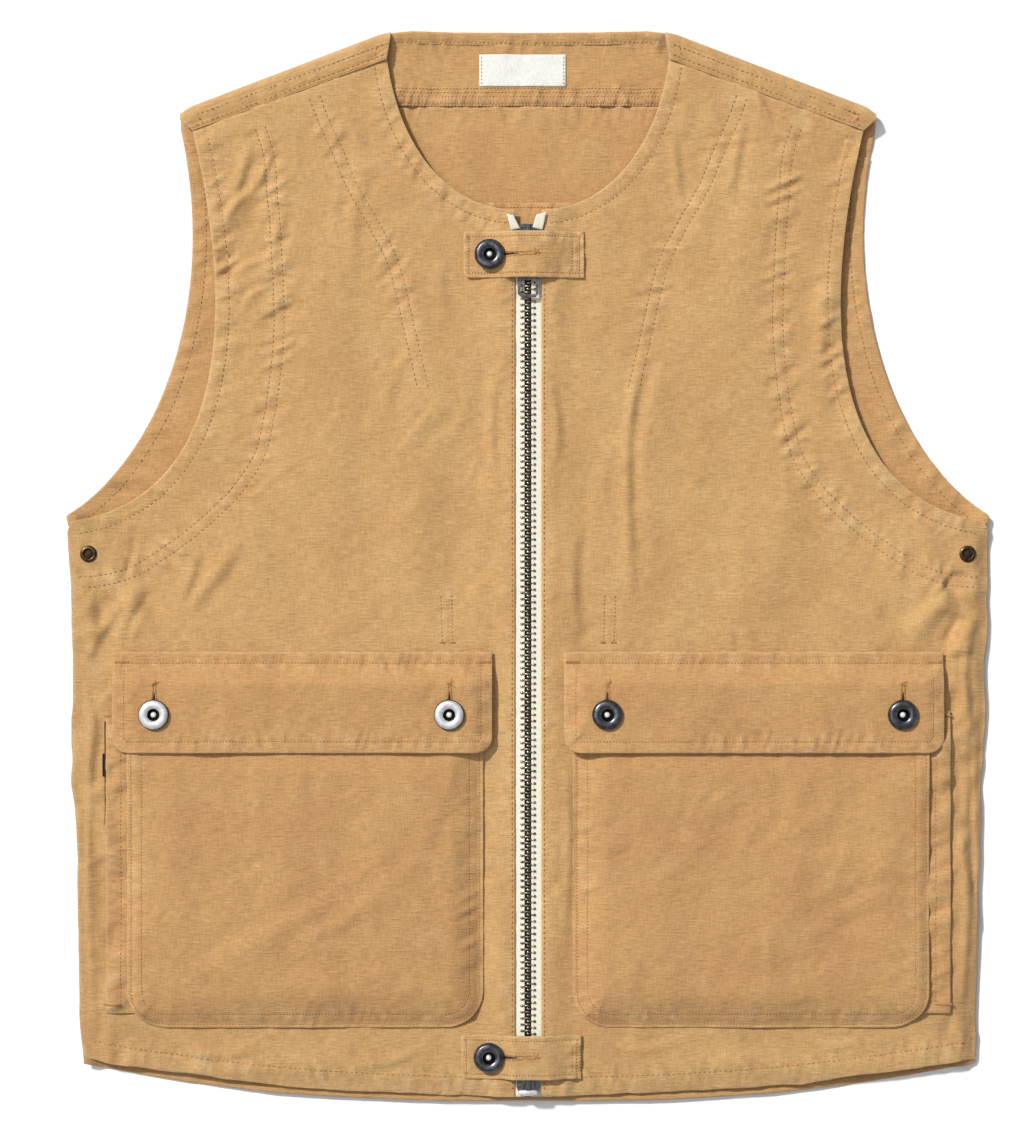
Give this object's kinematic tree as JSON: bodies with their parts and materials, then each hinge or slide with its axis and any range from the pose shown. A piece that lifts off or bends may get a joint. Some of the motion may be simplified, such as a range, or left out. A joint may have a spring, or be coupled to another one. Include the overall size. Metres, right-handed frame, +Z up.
{
  "type": "fishing vest",
  "caption": "Sleeveless canvas fishing vest with a two-way zip, patch pockets with buttoned flaps, side hand pockets and buttoned tabs across the zip.",
  "frame": {"origin": "middle of the vest's box, on the surface that its back lies on", "axes": "+X to the wearer's left, +Y to the neck, +Z up out of the chest, with the vest lying on its back"},
  "size_m": [0.518, 0.5989, 0.0207],
  "materials": {
    "canvas": "washed cotton canvas, matt, slubby weave",
    "zip_tape": "woven cream zip tape",
    "neck_label": "plain woven label, no text",
    "gunmetal": "gunmetal plating, half gloss, worn on rims",
    "zip_metal": "antique dark zip teeth, worn tips",
    "dark_brass": "antique brass eyelets"
  },
  "bodies": {
    "vest": {"back_panel": "canvas", "back_yoke": "canvas", "back_neck_facing": "canvas", "neck_label": "neck_label", "left_front_panel": "canvas", "left_armhole_facing": "canvas", "left_neck_facing": "canvas", "left_hem_facing": "canvas", "left_zip_facing": "canvas", "left_pocket_base": "canvas", "left_pocket_patch": "canvas", "left_flap_seam": "canvas", "left_zip_tape": "zip_tape", "left_zip_teeth": "zip_metal", "left_zip_top_stop": "zip_metal", "left_zip_pin": "zip_metal", "left_eyelet": "dark_brass", "left_eyelet_washer": "dark_brass", "left_pocket_inner_button_tack": "gunmetal", "left_pocket_outer_button_tack": "gunmetal", "right_front_panel": "canvas", "right_armhole_facing": "canvas", "right_neck_facing": "canvas", "right_hem_facing": "canvas", "right_zip_facing": "canvas", "right_pocket_base": "canvas", "right_pocket_patch": "canvas", "right_flap_seam": "canvas", "right_zip_tape": "zip_tape", "right_zip_teeth": "zip_metal", "right_zip_top_stop": "zip_metal", "right_zip_pin": "zip_metal", "right_eyelet": "dark_brass", "right_eyelet_washer": "dark_brass", "right_pocket_inner_button_tack": "gunmetal", "right_pocket_outer_button_tack": "gunmetal", "neck_tab_end": "canvas", "hem_tab_end": "canvas", "neck_tab_button_tack": "gunmetal", "hem_tab_button_tack": "gunmetal"},
    "left_pocket_flap": {"left_pocket_flap": "canvas"},
    "right_pocket_flap": {"right_pocket_flap": "canvas"},
    "neck_tab": {"neck_tab": "canvas"},
    "hem_tab": {"hem_tab": "canvas"},
    "top_slider": {"top_slider": "gunmetal"},
    "top_pull": {"top_pull": "gunmetal"},
    "bottom_slider": {"bottom_slider": "gunmetal"},
    "bottom_pull": {"bottom_pull": "gunmetal"},
    "left_pocket_inner_button": {"left_pocket_inner_button_cap": "gunmetal"},
    "left_pocket_outer_button": {"left_pocket_outer_button_cap": "gunmetal"},
    "right_pocket_inner_button": {"right_pocket_inner_button_cap": "gunmetal"},
    "right_pocket_outer_button": {"right_pocket_outer_button_cap": "gunmetal"},
    "neck_tab_button": {"neck_tab_button_cap": "gunmetal"},
    "hem_tab_button": {"hem_tab_button_cap": "gunmetal"}
  },
  "joints": [
    {"name": "left_flap_hinge", "type": "hinge", "parent": "vest", "child": "left_pocket_flap", "pos_m": [0.126, -0.0553, 0.0113], "axis": [-1, 0, 0], "range_deg": [0, 150]},
    {"name": "right_flap_hinge", "type": "hinge", "parent": "vest", "child": "right_pocket_flap", "pos_m": [-0.126, -0.0553, 0.0113], "axis": [-1, 0, 0], "range_deg": [0, 150]},
    {"name": "neck_tab_hinge", "type": "hinge", "parent": "vest", "child": "neck_tab", "pos_m": [0.0246, 0.1729, 0.01015], "axis": [0, 1, 0], "range_deg": [0, 160]},
    {"name": "hem_tab_hinge", "type": "hinge", "parent": "vest", "child": "hem_tab", "pos_m": [0.0246, -0.2755, 0.01015], "axis": [0, 1, 0], "range_deg": [0, 160]},
    {"name": "top_slider_travel", "type": "slide", "parent": "vest", "child": "top_slider", "axis": [0, -1, 0], "range_m": [0, 0.3], "deforming": ["left_zip_teeth", "right_zip_teeth"]},
    {"name": "bottom_slider_travel", "type": "slide", "parent": "vest", "child": "bottom_slider", "axis": [0, 1, 0], "range_m": [0, 0.1], "deforming": ["left_zip_teeth", "right_zip_teeth"]},
    {"name": "top_pull_hinge", "type": "hinge", "parent": "top_slider", "child": "top_pull", "pos_m": [0, 0.1853, 0.0124], "axis": [-1, 0, 0], "range_deg": [0, 3]},
    {"name": "bottom_pull_hinge", "type": "hinge", "parent": "bottom_slider", "child": "bottom_pull", "pos_m": [0, -0.2923, 0.0124], "axis": [1, 0, 0], "range_deg": [0, 3]},
    {"name": "left_pocket_inner_button_swivel", "type": "hinge", "parent": "vest", "child": "left_pocket_inner_button", "pos_m": [0.044, -0.084, 0.015], "axis": [0, 0, 1], "continuous": true},
    {"name": "left_pocket_outer_button_swivel", "type": "hinge", "parent": "vest", "child": "left_pocket_outer_button", "pos_m": [0.2085, -0.084, 0.015], "axis": [0, 0, 1], "continuous": true},
    {"name": "right_pocket_inner_button_swivel", "type": "hinge", "parent": "vest", "child": "right_pocket_inner_button", "pos_m": [-0.044, -0.084, 0.015], "axis": [0, 0, 1], "continuous": true},
    {"name": "right_pocket_outer_button_swivel", "type": "hinge", "parent": "vest", "child": "right_pocket_outer_button", "pos_m": [-0.2085, -0.084, 0.015], "axis": [0, 0, 1], "continuous": true},
    {"name": "neck_tab_button_swivel", "type": "hinge", "parent": "vest", "child": "neck_tab_button", "pos_m": [-0.0215, 0.1729, 0.015], "axis": [0, 0, 1], "continuous": true},
    {"name": "hem_tab_button_swivel", "type": "hinge", "parent": "vest", "child": "hem_tab_button", "pos_m": [-0.022, -0.2755, 0.015], "axis": [0, 0, 1], "continuous": true}
  ]
}
